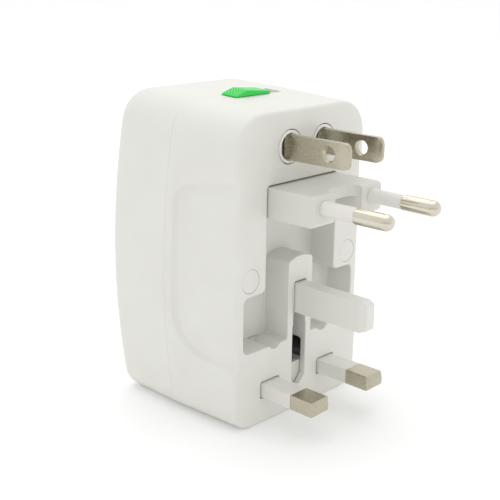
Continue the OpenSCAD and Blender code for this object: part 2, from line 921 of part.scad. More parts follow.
module uk_pin(s) {
  x = s * rect_spacing / 2;
  half = rect_width / 2;
  low = rect_height - rect_thick / 2;
  high = rect_height + rect_thick / 2;
  tip = -rect_reach;
  color(nickel) placed() {
    intersection() {
      along_x(x - half, x + half)
        polygon([[-rect_sleeve, low], [-rect_sleeve, high], [tip + 1.5, high],
          [tip + 0.5, high - 0.35], [tip, high - 1], [tip, low + 1],
          [tip + 0.5, low + 0.35], [tip + 1.5, low]]);
      translate([x, 0, low - over]) linear_extrude(rect_thick + 2 * over)
        polygon([[-half, -rect_sleeve], [-half, tip + 1.4], [-half + 0.4, tip + 0.5],
          [-half + 1.1, tip], [half - 1.1, tip], [half - 0.4, tip + 0.5],
          [half, tip + 1.4], [half, -rect_sleeve]]);
    }
    block([x - half + rect_core, -rect_sleeve - 0.1, low + rect_core],
      [x + half - rect_core, 11.9, high - rect_core]);
  }
}

module uk_pin_left() {
  uk_pin(-1);
}

module uk_pin_right() {
  uk_pin(1);
}

module uk_sleeve(s) {
  x = s * rect_spacing / 2;
  half = rect_width / 2;
  flat = rect_thick / 2;
  color(white) placed() translate([x, 0, rect_height]) difference() {
    along_y(-rect_sleeve + 0.05, 4.9) round_rect([-half, -flat], [half, flat], 0.4);
    block([-half + rect_core - pin_play, -rect_sleeve - over, -flat + rect_core - pin_play],
      [half - rect_core + pin_play, 6, flat - rect_core + pin_play]);
  }
}

module uk_sleeve_left() {
  uk_sleeve(-1);
}

module uk_sleeve_right() {
  uk_sleeve(1);
}

// ---------- fasteners ----------

module screw_cap_left() {
  color(white) placed() rod_y(-screw_x, screw_z, cover_radius, 0.02, cover_thick);
}

module screw_cap_right() {
  color(white) placed() rod_y(screw_x, screw_z, cover_radius, 0.02, cover_thick);
}

module case_screws() {
  color(nickel) placed() for (x = [-screw_x, screw_x]) difference() {
    union() {
      rod_y(x, screw_z, head_radius, head_depth - 2, head_depth - 0.02);
      rod_y(x, screw_z, shank_radius, head_depth - 0.1, shank_end);
    }
    // Cross drive in the head
    translate([x, head_depth - 2, screw_z]) for (a = [0, 90]) rotate([0, a, 0])
      cube([3, 2, 0.7], center = true);
  }
}

// ---------- drawing ----------

front_shell();
rear_shell();
socket_plate();
contact_block();
line_contact();
neutral_contact();
earth_contact();
line_busbar();
neutral_busbar();
fuse_body();
fuse_caps();
shutter();
shutter_spring();
lock_slider();
us_carriage();
us_retainer();
us_rotor_left();
us_rotor_right();
us_blade_left();
us_blade_right();
eu_carrier();
eu_pin_left();
eu_pin_right();
eu_sleeve_left();
eu_sleeve_right();
eu_hinge_pin();
earth_pin();
earth_hinge_pin();
earth_latch();
uk_carriage();
uk_pin_left();
uk_pin_right();
uk_sleeve_left();
uk_sleeve_right();
screw_cap_left();
screw_cap_right();
case_screws();
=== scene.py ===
import math

import bmesh
import bpy
import numpy as np
from mathutils import Matrix, Vector


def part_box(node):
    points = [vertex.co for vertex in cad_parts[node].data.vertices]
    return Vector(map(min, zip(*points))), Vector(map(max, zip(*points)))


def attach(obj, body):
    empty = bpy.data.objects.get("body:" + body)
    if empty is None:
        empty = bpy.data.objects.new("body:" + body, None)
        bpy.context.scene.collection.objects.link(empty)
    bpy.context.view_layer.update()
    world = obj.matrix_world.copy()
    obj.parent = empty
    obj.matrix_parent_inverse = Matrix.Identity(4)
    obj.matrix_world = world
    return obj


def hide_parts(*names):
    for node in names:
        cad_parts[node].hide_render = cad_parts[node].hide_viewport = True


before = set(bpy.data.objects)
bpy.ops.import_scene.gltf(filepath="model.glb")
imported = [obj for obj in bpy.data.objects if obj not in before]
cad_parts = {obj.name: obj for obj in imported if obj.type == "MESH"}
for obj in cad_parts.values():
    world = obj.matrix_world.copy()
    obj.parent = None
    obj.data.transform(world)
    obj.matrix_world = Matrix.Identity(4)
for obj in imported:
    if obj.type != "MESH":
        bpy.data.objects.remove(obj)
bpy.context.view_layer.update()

MM = 0.001
FACE_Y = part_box("front_shell")[0].y / MM      # the pin face, in the row frame

# Body, in millimetres with the pin face at y = 0
DEPTH, SEAM, WALL = 43.5, 22.0, 2.2
FACE_H, SEAM_H, BACK_H = 80.5, 81.7, 82.5
FACE_HALF, SEAM_HALF, BACK_HALF = 24.4, 27.6, 27.4
FACE_CROWN, SEAM_CROWN, BACK_CROWN = 0.4, 4.2, 4.7
CROWN_MID, CROWN_SPAN = 38.0, 42.0
TOP_R, BOTTOM_R = 9.0, 6.5
SEAM_GAP = 0.012


# ---------------------------------------------------------------- mesh helpers

def new_object(name, bm):
    """An object from a bmesh drawn in millimetres with the pin face at y = 0."""
    bmesh.ops.transform(bm, matrix=Matrix.Scale(MM, 4) @ Matrix.Translation((0, FACE_Y, 0)),
                        verts=bm.verts)
    bmesh.ops.recalc_face_normals(bm, faces=bm.faces)
    mesh = bpy.data.meshes.new(name)
    bm.to_mesh(mesh)
    bm.free()
    obj = bpy.data.objects.new(name, mesh)
    bpy.context.scene.collection.objects.link(obj)
    return obj


def ring_mesh(rings, closed=False):
    """A bmesh that joins equal rings of points and caps the two ends."""
    bm = bmesh.new()
    rows = [[bm.verts.new(p) for p in ring] for ring in rings]
    n = len(rows[0])
    for a, b in zip(rows, rows[1:] + (rows[:1] if closed else [])):
        for i in range(n):
            j = (i + 1) % n
            bm.faces.new((a[i], a[j], b[j], b[i]))
    if not closed:
        bm.faces.new(rows[0])
        bm.faces.new(list(reversed(rows[-1])))
    return bm


def prism(points, axis, low, high):
    """A bmesh of a flat outline pushed along x, y or z. Points are (y, z), (x, z) or (x, y)."""
    def place(p, d):
        return {"x": (d, p[0], p[1]), "y": (p[0], d, p[1]), "z": (p[0], p[1], d)}[axis]
    return ring_mesh([[place(p, low) for p in points], [place(p, high) for p in points]])


def block(a, b):
    return prism([(a[0], a[1]), (b[0], a[1]), (b[0], b[1]), (a[0], b[1])], "z", a[2], b[2])


def arc(cx, cy, r, a0, a1, n):
    return [(cx + r * math.cos(math.radians(a0 + (a1 - a0) * i / n)),
             cy + r * math.sin(math.radians(a0 + (a1 - a0) * i / n))) for i in range(n + 1)]


def rounded(points, radii, n=8):
    """An outline with round corners; radii is one number or one for each corner."""
    out = []
    count = len(points)
    for i, p in enumerate(points):
        r = radii if isinstance(radii, (int, float)) else radii[i]
        p = Vector(p)
        if r <= 0:
            out.append(tuple(p))
            continue
        u = (Vector(points[i - 1]) - p).normalized()
        v = (Vector(points[(i + 1) % count]) - p).normalized()
        half = u.angle(v) / 2
        d = r / math.tan(half)
        centre = p + (u + v).normalized() * (r / math.sin(half))
        a, b = p + u * d - centre, p + v * d - centre
        turn = math.atan2(a.x * b.y - a.y * b.x, a.dot(b))
        for k in range(n + 1):
            t = turn * k / n
            out.append((centre.x + a.x * math.cos(t) - a.y * math.sin(t),
                        centre.y + a.x * math.sin(t) + a.y * math.cos(t)))
    return out


def box_outline(x0, z0, x1, z1, r, n=8):
    return rounded([(x0, z0), (x1, z0), (x1, z1), (x0, z1)], r, n)


def lathe(profile, x, z, n=64):
    """A bmesh of (radius, y) points turned about a line along Y at x, z."""
    rings = []
    for r, y in profile:
        r = max(r, 0.004)
        rings.append([(x + r * math.cos(2 * math.pi * i / n), y, z + r * math.sin(2 * math.pi * i / n))
                      for i in range(n)])
    return ring_mesh(rings)


def lathe_x(profile, y, z, n=48):
    """A bmesh of (radius, x) points turned about a line along X at y, z."""
    rings = []
    for r, x in profile:
        r = max(r, 0.004)
        rings.append([(x, y + r * math.cos(2 * math.pi * i / n), z + r * math.sin(2 * math.pi * i / n))
                      for i in range(n)])
    return ring_mesh(rings)


def cut(obj, tool_bm, operation="DIFFERENCE"):
    """Cuts, joins or keeps the overlap with another bmesh, on the object's own mesh."""
    tool = new_object("tool", tool_bm)
    mod = obj.modifiers.new("cut", "BOOLEAN")
    mod.operation, mod.object, mod.solver = operation, tool, "EXACT"
    apply_modifiers(obj)
    bpy.data.objects.remove(tool)


def apply_modifiers(obj):
    bpy.context.view_layer.update()
    done = bpy.data.meshes.new_from_object(obj.evaluated_get(bpy.context.evaluated_depsgraph_get()))
    obj.modifiers.clear()
    old, obj.data = obj.data, done
    bpy.data.meshes.remove(old)


def clean(obj, distance=0.002):
    """Merges doubled points and drops flat joins left by the cuts."""
    bm = bmesh.new()
    bm.from_mesh(obj.data)
    bmesh.ops.remove_doubles(bm, verts=bm.verts, dist=distance * MM)
    bmesh.ops.dissolve_degenerate(bm, edges=bm.edges, dist=distance * MM)
    bm.to_mesh(obj.data)
    bm.free()


def soften(obj, width, angle=32, segments=3, where=None, clamp=True):
    """Rounds the sharp edges, all of them or those whose middle the test accepts."""
    bm = bmesh.new()
    bm.from_mesh(obj.data)
    weight = bm.edges.layers.float.get("bevel_weight_edge") or bm.edges.layers.float.new("bevel_weight_edge")
    limit = math.radians(angle)
    for e in bm.edges:
        e[weight] = 0.0
        if len(e.link_faces) == 2 and e.calc_face_angle(0) > limit:
            mid = (e.verts[0].co + e.verts[1].co) / 2 / MM - Vector((0, FACE_Y, 0))
            if where is None or where(mid):
                e[weight] = 1.0
    bm.to_mesh(obj.data)
    bm.free()
    mod = obj.modifiers.new("soft", "BEVEL")
    mod.limit_method, mod.width, mod.segments = "WEIGHT", width * MM, segments
    mod.use_clamp_overlap = clamp
    mod.miter_outer = "MITER_ARC"
    mod.profile = 0.5
    apply_modifiers(obj)


def smooth(obj, angle=34):
    """Smooth shading that keeps the edges sharper than the angle, with large faces split first."""
    bm = bmesh.new()
    bm.from_mesh(obj.data)
    bmesh.ops.triangulate(bm, faces=[f for f in bm.faces if len(f.verts) > 4])
    for f in bm.faces:
        f.smooth = True
    for e in bm.edges:
        e.smooth = not (len(e.link_faces) == 2 and e.calc_face_angle(0) > math.radians(angle))
    bm.to_mesh(obj.data)
    bm.free()
    mod = obj.modifiers.new("normals", "WEIGHTED_NORMAL")
    mod.keep_sharp, mod.weight = True, 80


def finish_piece(obj, node, body, material):
    obj.data.materials.clear()
    obj.data.materials.append(material)
    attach(obj, body)
    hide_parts(node)
    return obj


# ---------------------------------------------------------------- materials

def shader(name, color, rough, metallic=0.0, **inputs):
    mat = bpy.data.materials.new(name)
    mat.use_nodes = True
    nt = mat.node_tree
    bsdf = nt.nodes["Principled BSDF"]
    bsdf.inputs["Base Color"].default_value = (*color, 1)
    bsdf.inputs["Roughness"].default_value = rough
    bsdf.inputs["Metallic"].default_value = metallic
    for key, value in inputs.items():
        bsdf.inputs[key.replace("_", " ")].default_value = value
    return mat, nt, bsdf


def noise(nt, scale, detail=3.0, rough=0.5, stretch=(1, 1, 1)):
    coord = nt.nodes.new("ShaderNodeTexCoord")
    mapping = nt.nodes.new("ShaderNodeMapping")
    mapping.inputs["Scale"].default_value = stretch
    tex = nt.nodes.new("ShaderNodeTexNoise")
    tex.inputs["Scale"].default_value = scale
    tex.inputs["Detail"].default_value = detail
    tex.inputs["Roughness"].default_value = rough
    nt.links.new(coord.outputs["Object"], mapping.inputs["Vector"])
    nt.links.new(mapping.outputs["Vector"], tex.inputs["Vector"])
    return tex.outputs["Fac"]


def spread(nt, value, low, high, start=0.3, end=0.7):
    node = nt.nodes.new("ShaderNodeMapRange")
    node.inputs["From Min"].default_value = start
    node.inputs["From Max"].default_value = end
    node.inputs["To Min"].default_value = low
    node.inputs["To Max"].default_value = high
    nt.links.new(value, node.inputs["Value"])
    return node.outputs["Result"]


def blend_colors(nt, fac, a, b):
    node = nt.nodes.new("ShaderNodeMix")
    node.data_type = "RGBA"
    node.inputs["A"].default_value = (*a, 1)
    node.inputs["B"].default_value = (*b, 1)
    nt.links.new(fac, node.inputs["Factor"])
    return node.outputs["Result"]


def bump(nt, bsdf, height, strength, distance):
    node = nt.nodes.new("ShaderNodeBump")
    node.inputs["Strength"].default_value = strength
    node.inputs["Distance"].default_value = distance
    nt.links.new(height, node.inputs["Height"])
    nt.links.new(node.outputs["Normal"], bsdf.inputs["Normal"])


def moulded_plastic(name, light, dark, rough, grain, depth, **inputs):
    """Moulded plastic: fine spark-eroded grain, faint flow mottling and handling marks."""
    mat, nt, bsdf = shader(name, light, rough, **inputs)
    mottle = noise(nt, 95, 4, 0.55)
    nt.links.new(blend_colors(nt, spread(nt, mottle, 0, 1, 0.35, 0.68), light, dark),
                 bsdf.inputs["Base Color"])
    rub = noise(nt, 260, 5, 0.6)
    nt.links.new(spread(nt, rub, rough - 0.06, rough + 0.07), bsdf.inputs["Roughness"])
    fine = noise(nt, grain, 2, 0.5)
    bump(nt, bsdf, fine, 0.35, depth)
    return mat


def plated_metal(name, light, dark, rough, stretch):
    """Satin plated metal: drawn lines along the part and cloudy roughness."""
    mat, nt, bsdf = shader(name, light, rough, 1.0)
    lines = noise(nt, 900, 3, 0.6, stretch)
    cloud = noise(nt, 330, 4, 0.6)
    nt.links.new(blend_colors(nt, spread(nt, cloud, 0, 1), light, dark), bsdf.inputs["Base Color"])
    mix = nt.nodes.new("ShaderNodeMath")
    mix.operation = "ADD"
    nt.links.new(spread(nt, lines, rough - 0.025, rough + 0.025), mix.inputs[0])
    nt.links.new(spread(nt, cloud, -0.015, 0.025), mix.inputs[1])
    nt.links.new(mix.outputs[0], bsdf.inputs["Roughness"])
    bump(nt, bsdf, lines, 0.07, 0.00001)
    return mat


WHITE = moulded_plastic("shell_white", (0.755, 0.752, 0.705), (0.732, 0.729, 0.682), 0.45, 2600, 0.00005)
WHITE_CARRIER = moulded_plastic("carrier_white", (0.68, 0.678, 0.625), (0.66, 0.658, 0.605), 0.42, 6200,
                                0.00002)
SLEEVE = moulded_plastic("sleeve_white", (0.75, 0.748, 0.70), (0.735, 0.733, 0.685), 0.40, 7000, 0.000012)
SOCKET = moulded_plastic("socket_white", (0.70, 0.697, 0.65), (0.68, 0.677, 0.63), 0.40, 5600, 0.00002)
# The rotor white is brighter than the shell white: painted rim light on the rotor ring.
ROTOR_WHITE_LIT = moulded_plastic("rotor_white", (0.84, 0.84, 0.81), (0.82, 0.82, 0.79), 0.4, 6200, 0.00002)
INNER = moulded_plastic("inner_nylon", (0.50, 0.50, 0.48), (0.45, 0.45, 0.43), 0.5, 4200, 0.00003)
GREEN = moulded_plastic("slider_green", (0.026, 0.70, 0.085), (0.022, 0.62, 0.073), 0.38, 4800, 0.00002)
# The satin nickel is darker than plain nickel: painted shade standing in for darker reflections on the metal.
NICKEL_SHADED = plated_metal("nickel_satin_painted_shade", (0.51, 0.475, 0.375), (0.49, 0.455, 0.357), 0.27, (1, 0.06, 1))
NICKEL_BRIGHT = plated_metal("nickel_bright", (0.68, 0.64, 0.54), (0.64, 0.60, 0.50), 0.11, (1, 0.06, 1))
BRASS = plated_metal("stamped_brass", (0.72, 0.52, 0.24), (0.62, 0.44, 0.19), 0.3, (1, 1, 0.08))
STEEL = plated_metal("zinc_steel", (0.55, 0.56, 0.58), (0.47, 0.48, 0.5), 0.32, (0.08, 1, 1))


def glass_material():
    mat, nt, bsdf = shader("fuse_glass", (0.9, 0.92, 0.9), 0.06, Transmission_Weight=0.9)
    streak = noise(nt, 420, 3, 0.5, (1, 1, 0.1))
    nt.links.new(spread(nt, streak, 0.03, 0.12), bsdf.inputs["Roughness"])
    return mat


GLASS = glass_material()


# ---------------------------------------------------------------- shell surfaces

def side_x(z, w, crown):
    return w - crown * ((z - CROWN_MID) / CROWN_SPAN) ** 2


def lean(z, crown):
    return math.atan(2 * crown * (z - CROWN_MID) / CROWN_SPAN ** 2)


def meet(z, r, crown):
    return z + r * math.sin(lean(z + r * math.sin(lean(z, crown)), crown))


def outline(w, crown, low, high, rb, rt, steps, corner):
    """One cross section of the body, seen from the front."""
    zb, zt = meet(low + rb, rb, crown), meet(high - rt, rt, crown)
    ab, at = math.degrees(lean(zb, crown)), math.degrees(lean(zt, crown))
    half = arc(side_x(zb, w, crown) - rb * math.cos(math.radians(ab)), low + rb, rb, -90, ab, corner)
    half += [(side_x(zb + (zt - zb) * i / steps, w, crown), zb + (zt - zb) * i / steps)
             for i in range(1, steps)]
    half += arc(side_x(zt, w, crown) - rt * math.cos(math.radians(at)), high - rt, rt, at, 90, corner)
    return half + [(-x, z) for x, z in reversed(half)]


def section(y, inset, steps, corner):
    """The body's cross section at depth y, shrunk by inset, as points (x, y, z)."""
    if y <= SEAM:
        t = y / SEAM
        w, crown, top = (a + (b - a) * t for a, b in
                         ((FACE_HALF, SEAM_HALF), (FACE_CROWN, SEAM_CROWN), (FACE_H, SEAM_H)))
    else:
        t = (y - SEAM) / (DEPTH - 3 - SEAM)
        w, crown, top = (a + (b - a) * min(t, 1) for a, b in
                         ((SEAM_HALF, BACK_HALF), (SEAM_CROWN, BACK_CROWN), (SEAM_H, BACK_H)))
    pts = outline(w - inset, crown, inset, top - inset, max(BOTTOM_R - inset, 0.5),
                  max(TOP_R - inset, 0.5), steps, corner)
    return [(x, y, z) for x, z in pts]


GRIP = ([(-1, 16.8)] + arc(19.4 - 10.8, 18.2 + 10.8, 10.8, -85, 0, 20)
        + arc(19.4 - 5, 62.4 - 5, 5, 0, 80, 12) + [(-1, 65.2)])


def grip_inset(y, z, depth=0.95, width=1.1):
    """How far the side sinks at (y, z): a shallow panel with a soft step round it."""
    poly = np.array(GRIP, float)
    a, b = poly, np.roll(poly, -1, axis=0)
    a, b = a[:-1], b[:-1]
    p = np.stack([y, z], -1)[:, None, :]
    ab = (b - a)[None]
    t = np.clip(((p - a) * ab).sum(-1) / (ab ** 2).sum(-1), 0, 1)
    d = np.linalg.norm(p - (a + t[..., None] * ab), axis=-1).min(1)
    inside = np.zeros(len(y), bool)
    full_a, full_b = poly, np.roll(poly, -1, axis=0)
    for (ay, az), (by, bz) in zip(full_a, full_b):
        crosses = (az > z) != (bz > z)
        at = (by - ay) * (z - az) / (bz - az + 1e-12) + ay
        inside ^= crosses & (y < at)
    signed = np.where(inside, d, -d)
    s = np.clip(signed / width + 0.5, 0, 1)
    return depth * s * s * (3 - 2 * s)


def sink_grips(rings):
    """Pushes the side panels into the rings of the front shell."""
    out = []
    for ring in rings:
        p = np.array(ring)
        inset = grip_inset(p[:, 1], p[:, 2])
        inset = np.where(np.abs(p[:, 0]) > 17, inset, 0)
        p[:, 0] -= np.sign(p[:, 0]) * inset
        out.append([tuple(q) for q in p])
    return out


def front_solid():
    steps, corner = 190, 14
    r, n = 0.8, 6
    rings = []
    for i in range(n + 1):
        a = math.radians(90 * i / n)
        rings.append(section(r * (1 - math.cos(a)), r * (1 - math.sin(a)), steps, corner))
    count = 60
    last = SEAM - SEAM_GAP
    for i in range(1, count + 1):
        rings.append(section(r + (last - 0.16 - r) * i / count, 0, steps, corner))
    rings.append(section(last - 0.04, 0.01, steps, corner))
    rings.append(section(last, 0.05, steps, corner))
    return ring_mesh(sink_grips(rings))


def rear_solid():
    steps, corner = 60, 14
    r, n = 3.0, 12
    first = SEAM + SEAM_GAP
    rings = [section(first, 0.05, steps, corner), section(first + 0.04, 0.01, steps, corner),
             section(first + 0.16, 0, steps, corner)]
    for i in range(1, 10):
        rings.append(section(first + 0.16 + (DEPTH - r - first - 0.16) * i / 10, 0, steps, corner))
    for i in range(n + 1):
        a = math.radians(90 * i / n)
        rings.append(section(DEPTH - r * (1 - math.sin(a)), r * (1 - math.cos(a)), steps, corner))
    return ring_mesh(rings)


def cavity(y0, y1, inset=WALL):
    return ring_mesh([section(y, inset, 24, 8) for y in np.linspace(y0, y1, 5)])


# ---------------------------------------------------------------- front shell

RECESS_DEPTH = 8.3
PIVOT = (3.8, 58.5)                           # y, z of the carrier's hinge
PIN_X, PIN_Z = 9.3, 59.2                      # round pins
US_X, US_Z, US_MID = 6.35, 71.3, 1.2          # flat blades, a little right of the middle
UK_X, UK_Z = 11.1, 9.2                        # rectangular pins
SCREW = (18.8, 39.7)                          # x, z of the case screws
SLIDER_SLOT = ((-5.8, 18, 80.75), (11.2, 23.4, 85))
SLIDER_TRACK = ((-5.2, 18.5, 76), (10.6, 20.1, 82))
SCOOP_Z, SCOOP_R = 21.7, 2.3                  # grooves at the foot of the pin channels
EARTH_TOP, EARTH_LOW = 35.4, 27.4


def recess_points(grow):
    """Outline of the folding recess: a channel that widens into two finger pockets."""
    h, w = 13.3 + grow, 21.1 + grow
    low, mid, top = 20.6 - grow, 35.6 + grow, 62.65 + grow
    return rounded([(-w, low), (w, low), (w, mid), (h, mid), (h, top), (-h, top), (-h, mid), (-w, mid)],
                   [1.8, 1.8, 1.8, 1.6, 1.0, 1.0, 1.6, 1.8])


def ridge_points():
    half, top, r = 4.6, 42.6, 9.4
    lift = math.degrees(math.asin((half - 0.9) / r))
    crown = [(r * math.sin(math.radians(a)), top - r + r * math.cos(math.radians(a)))
             for a in np.linspace(lift, -lift, 13)]
    shoulder = crown[0][1] - 0.9
    right = arc(half - 0.9, shoulder, 0.9, 0, 60, 6)
    left = [(-x, z) for x, z in reversed(right)]
    return [(half, 14)] + right + crown + left + [(-half, 14)]


def slot_points():
    """Outline of the earth pin slot: wider below a step, with a cut foot."""
    wide, narrow, low, step, top = 2.6, 2.3, 6.4, 23.6, EARTH_TOP + 0.35
    outline_points = [(-wide, low + 2), (-wide + 1, low + 0.9), (0.5, low), (wide, low + 2.5), (wide, step),
                      (narrow, step), (narrow, top), (-narrow, top), (-narrow, step), (-wide, step)]
    return rounded(outline_points, [0.6, 0.6, 0.4, 0.5, 0.15, 0.15, 0.4, 0.4, 0.15, 0.15], 4)


def as_tool(obj):
    """Turns an object back into a bmesh in drawing units and removes it."""
    tool = bmesh.new()
    tool.from_mesh(obj.data)
    bmesh.ops.transform(tool, matrix=Matrix.Translation((0, -FACE_Y, 0)) @ Matrix.Scale(1 / MM, 4),
                        verts=tool.verts)
    bpy.data.objects.remove(obj)
    return tool


def hollow():
    """The space inside the front shell, with the walls that stand in it left out."""
    space = new_object("space", cavity(WALL, SEAM + 1))
    cut(space, prism(recess_points(1.6), "y", 1, RECESS_DEPTH + 1.6))
    cut(space, block((-4, 1, 18.6), (4, RECESS_DEPTH + 1.6, 21)))
    cut(space, block((-4.5, 1, 4.7), (4.5, 9.9, 12.4)))
    for s in (-1, 1):
        cut(space, block((min(s * 13, s * 16.5), 1, 55.3), (max(s * 13, s * 16.5), 8.3, 61.7)))
        cut(space, lathe([(4.5, 0), (4.5, SEAM + 2)], s * SCREW[0], SCREW[1], 40))
        cut(space, lathe([(SCOOP_R + 1.2, 1), (SCOOP_R + 1.2, 9.9)], s * PIN_X, SCOOP_Z, 40))
    return as_tool(space)


def folding_recess():
    """The recess for the round pins, round its ridge and with a groove at the foot of each channel."""
    recess = new_object("recess", prism(recess_points(0), "y", -1, RECESS_DEPTH))
    cut(recess, prism(ridge_points(), "y", -2, RECESS_DEPTH + 1))
    for s in (-1, 1):
        cut(recess, lathe([(SCOOP_R, -1.1), (SCOOP_R, RECESS_DEPTH - 0.02)], s * PIN_X, SCOOP_Z, 56), "UNION")
    return as_tool(recess)


def build_front_shell():
    obj = new_object("front_shell_skin", front_solid())
    cut(obj, hollow())
    cut(obj, folding_recess())
    cut(obj, prism(slot_points(), "y", -1, RECESS_DEPTH))
    cut(obj, block((-3.3, 1.85, 5.9), (3.3, 11, 18.5)))
    for x in (-UK_X, UK_X):
        cut(obj, prism(box_outline(x - 3.475, 6.9, x + 3.475, 11.5, 0.5), "y", -1, WALL + 1))
    for x in (US_MID - US_X, US_MID + US_X):
        cut(obj, lathe([(4.35, -1), (4.35, WALL + 1)], x, US_Z, 96))
    for x in (-SCREW[0], SCREW[0]):
        cut(obj, lathe([(3.11, -1), (3.11, 7.5)], x, SCREW[1]))
        cut(obj, lathe([(1.5, 7), (1.5, SEAM + 1)], x, SCREW[1], 32))
    cut(obj, block(*SLIDER_SLOT))
    cut(obj, block(*SLIDER_TRACK))
    clean(obj)
    return obj


def front_edge(p):
    """Edges of the openings in the pin face, which are moulded with a small round."""
    on_cover = min(math.hypot(p.x - x, p.z - SCREW[1]) for x in (-SCREW[0], SCREW[0])) < 3.4
    return -0.5 < p.y < 9 and p.z < 77 and abs(p.x) < 23.5 and not on_cover


obj = build_front_shell()
soften(obj, 0.3, where=front_edge, clamp=False)
smooth(obj)
finish_piece(obj, "front_shell", "housing", WHITE)


# ---------------------------------------------------------------- rear shell and socket

def build_rear_shell():
    obj = new_object("rear_shell_skin", rear_solid())
    cut(obj, cavity(SEAM - 1, DEPTH - WALL))
    cut(obj, prism(box_outline(-19.45, 18.55, 19.45, 65.45, 3), "y", DEPTH - 5, DEPTH + 1))
    cut(obj, block(*SLIDER_SLOT))
    clean(obj)
    return obj


obj = build_rear_shell()
soften(obj, 0.35, where=lambda p: p.y > DEPTH - 0.3, clamp=False)
smooth(obj)
finish_piece(obj, "rear_shell", "housing", WHITE)


def turned_slot(x, z, half_x, half_z, degrees, r=0.25):
    """Outline of a slot turned about its middle."""
    a = math.radians(degrees)
    return [(x + px * math.cos(a) - pz * math.sin(a), z + px * math.sin(a) + pz * math.cos(a))
            for px, pz in box_outline(-half_x, -half_z, half_x, half_z, r, 4)]


def live_hole(s, low, high):
    """One live hole, which takes round pins, blades and rectangular pins."""
    z = 31.0
    hole = new_object("hole", prism(box_outline(s * 11.1 - 3.5, z - 2.35, s * 11.1 + 3.5, z + 2.35, 0.3), "y",
                                    low, high))
    cut(hole, prism(arc(s * 9.5, z, 2.45, 0, 352.5, 47), "y", low - 0.1, high + 0.1), "UNION")
    cut(hole, prism(box_outline(s * US_X - 1, z - 3.7, s * US_X + 1, z + 3.7, 0.25, 4), "y",
                    low - 0.2, high + 0.2), "UNION")
    cut(hole, prism(turned_slot(s * 6.85, z, 1, 3.7, s * 30), "y", low - 0.3, high + 0.3), "UNION")
    return as_tool(hole)


def build_socket_plate():
    obj = new_object("socket_plate_skin", prism(box_outline(-19.3, 18.7, 19.3, 65.3, 3), "y", 40.5, 43.1))
    cut(obj, prism(box_outline(-20.8, 17.2, 20.8, 66.8, 3), "y", 40, 41.2), "UNION")
    for s in (-1, 1):
        a, b = sorted((s * 16.55, s * 17.7))
        cut(obj, block((a, 38, 17.6), (b, 40.5, 35.5)), "UNION")
    cut(obj, prism(box_outline(-16.6, 24.4, 16.6, 60.4, 4), "y", 42.6, 44))
    for s in (-1, 1):
        cut(obj, live_hole(s, 39, 44))
    cut(obj, prism(box_outline(-2.5, 48.8, 2.5, 57.6, 0.8), "y", 39, 44))
    clean(obj)
    soften(obj, 0.25, where=lambda p: p.y > 42, clamp=True)
    smooth(obj)
    return finish_piece(obj, "socket_plate", "housing", SOCKET)


build_socket_plate()


# ---------------------------------------------------------------- round pins and their carrier

def build_carrier():
    """Folding carrier: two arms that hold the pins, joined by a hollow web."""
    front, low, high, half, gap = -14.5, 54.7, 62.3, 12.95, 5.2
    side = (rounded([(front, high), (front, low)], 0, 1) + arc(PIVOT[0], PIVOT[1], 3.8, -90, 90, 24))
    side = (arc(front + 1.1, low + 1.1, 1.1, 180, 270, 6) + side[2:]
            + arc(front + 1.1, high - 1.1, 1.1, 90, 180, 6))
    obj = new_object("eu_carrier_skin", prism(side, "x", -half, half))
    opening = rounded([(-gap, -16), (gap, -16), (gap, -11.2), (-gap, -11.2)], [0, 0, 2.4, 2.4], 10)
    cut(obj, prism(opening, "z", low - 1, high + 1))
    under = rounded([(-gap, -16), (gap, -16), (gap, -1.6), (-gap, -1.6)], [0, 0, 1.2, 1.2], 6)
    cut(obj, prism(under, "z", low - 1, high - 2.9))
    for s in (-1, 1):
        cut(obj, lathe([(1.86, -16), (1.86, -12.5)], s * PIN_X, PIN_Z, 48))
    cut(obj, lathe_x([(1.05, -14), (1.05, 14)], *PIVOT))
    clean(obj)
    seat = (lambda p: min(math.hypot(p.x - x, p.z - PIN_Z) for x in (-PIN_X, PIN_X)) < 2.1)
    soften(obj, 0.75, 34, 4, where=lambda p: p.y < 3 and not seat(p))
    smooth(obj)
    return finish_piece(obj, "eu_carrier", "eu_fold_block", WHITE_CARRIER)


def build_round_pin(s, node):
    """Round pin: thin core in the sleeve, full-size nose with a ball end and two fine rings."""
    r, start, tip = 2.0, -24.3, -34.4
    ball = [(r * math.cos(math.radians(a)), tip + r - r * math.sin(math.radians(a))) for a in range(0, 91, 6)]
    profile = [(0, -5.1), (1.3, -5.1), (1.4, -5.2), (1.4, start + 0.05), (1.8, start + 0.04),
               (1.88, start - 0.02),
               (1.97, start - 0.06), (r, start - 0.14), (r, tip + r + 0.22), (r - 0.05, tip + r + 0.17),
               (r - 0.05, tip + r + 0.08), (r, tip + r + 0.03)] + ball
    obj = new_object(node + "_skin", lathe(profile, s * PIN_X, PIN_Z, 72))
    smooth(obj, 28)
    return finish_piece(obj, node, "eu_fold_block", NICKEL_BRIGHT)


def build_round_sleeve(s, node):
    """Insulating sleeve: a tube whose outer edges are eased."""
    outer, inner, root, end = 1.84, 1.42, -12.6, -24.25
    rings = [(inner, root), (outer - 0.1, root), (outer, root - 0.1), (outer, end + 0.2),
             (outer - 0.08, end + 0.04),
             (outer - 0.2, end), (inner, end)]
    bm = bmesh.new()
    n = 72
    rows = [[bm.verts.new((s * PIN_X + r * math.cos(2 * math.pi * i / n), y,
                           PIN_Z + r * math.sin(2 * math.pi * i / n))) for i in range(n)] for r, y in rings]
    for a, b in zip(rows, rows[1:] + rows[:1]):
        for i in range(n):
            bm.faces.new((a[i], a[(i + 1) % n], b[(i + 1) % n], b[i]))
    obj = new_object(node + "_skin", bm)
    smooth(obj, 30)
    return finish_piece(obj, node, "eu_fold_block", SLEEVE)


build_carrier()
for s, side_name in ((-1, "left"), (1, "right")):
    build_round_pin(s, "eu_pin_" + side_name)
    build_round_sleeve(s, "eu_sleeve_" + side_name)


# ---------------------------------------------------------------- flat blades and their rotors

